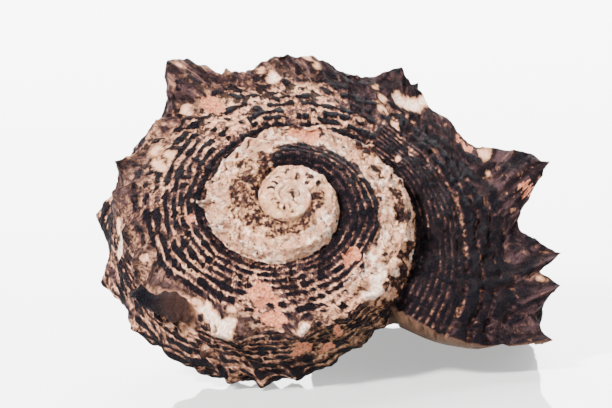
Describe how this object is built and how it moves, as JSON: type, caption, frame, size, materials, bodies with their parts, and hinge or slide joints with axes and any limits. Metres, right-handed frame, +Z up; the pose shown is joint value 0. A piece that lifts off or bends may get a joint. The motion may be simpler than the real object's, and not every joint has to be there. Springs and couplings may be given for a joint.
{
  "type": "spiny sea-snail shell",
  "caption": "Empty spiny sea-snail shell with an open spiral, broad keel spines, scaly spiral cords and a hollow aperture, lying aperture down.",
  "frame": {"origin": "centre of the bounding box's bottom face", "axes": "+X across the shell from the upper left spine to the lip, +Z up from the surface it rests on; the apex faces -Y and is tipped up"},
  "size_m": [0.0482, 0.0386, 0.0317],
  "materials": {
    "shell": null
  },
  "bodies": {
    "root": {"shell": "shell"}
  },
  "joints": []
}
